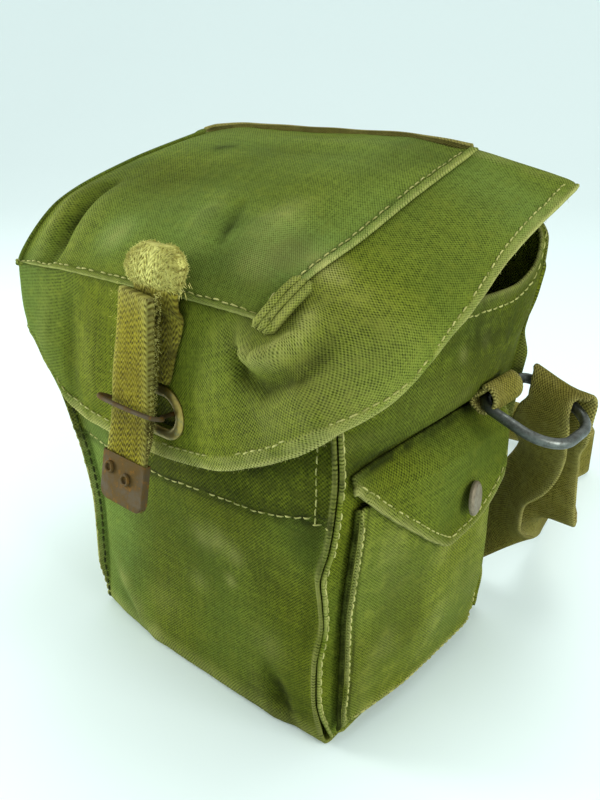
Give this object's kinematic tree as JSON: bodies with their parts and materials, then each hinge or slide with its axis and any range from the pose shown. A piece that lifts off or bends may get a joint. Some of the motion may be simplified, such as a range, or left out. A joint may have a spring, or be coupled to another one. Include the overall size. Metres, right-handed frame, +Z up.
{
  "type": "gas mask bag",
  "caption": "Small boxy canvas shoulder bag for a gas mask, with a boxed flap closed by a webbing strap, a studded side pocket, wire rings and a webbing sling.",
  "frame": {"origin": "middle of the flat bottom, on the surface that the bag stands on", "axes": "+Z up, -Y towards the front with the closing strap, +X towards the side with the pocket"},
  "size_m": [0.2571, 0.3368, 0.2285],
  "materials": {
    "canvas": "worn olive canvas",
    "webbing": "ribbed khaki webbing",
    "strap_webbing": "worn yellow khaki webbing",
    "stud_metal": "dull worn cap",
    "ring_steel": "dark worn wire",
    "rusty_steel": "rusty",
    "eyelet_brass": "dull brass with green in the recesses"
  },
  "bodies": {
    "root": {"body_wrap": "canvas", "right_side": "canvas", "left_side": "canvas", "flap_skirt": "canvas", "flap_top": "canvas", "back_tape": "webbing", "side_pocket": "canvas", "pocket_flap": "canvas", "pocket_stud": "stud_metal", "right_ring": "ring_steel", "left_ring": "ring_steel", "right_chape": "webbing", "left_chape": "webbing", "sling": "webbing", "strap_anchor": "strap_webbing", "closing_strap": "strap_webbing", "strap_tip": "rusty_steel", "tip_rivet_left": "rusty_steel", "tip_rivet_right": "rusty_steel", "flap_eyelet": "eyelet_brass", "wire_staple": "rusty_steel"}
  },
  "joints": []
}
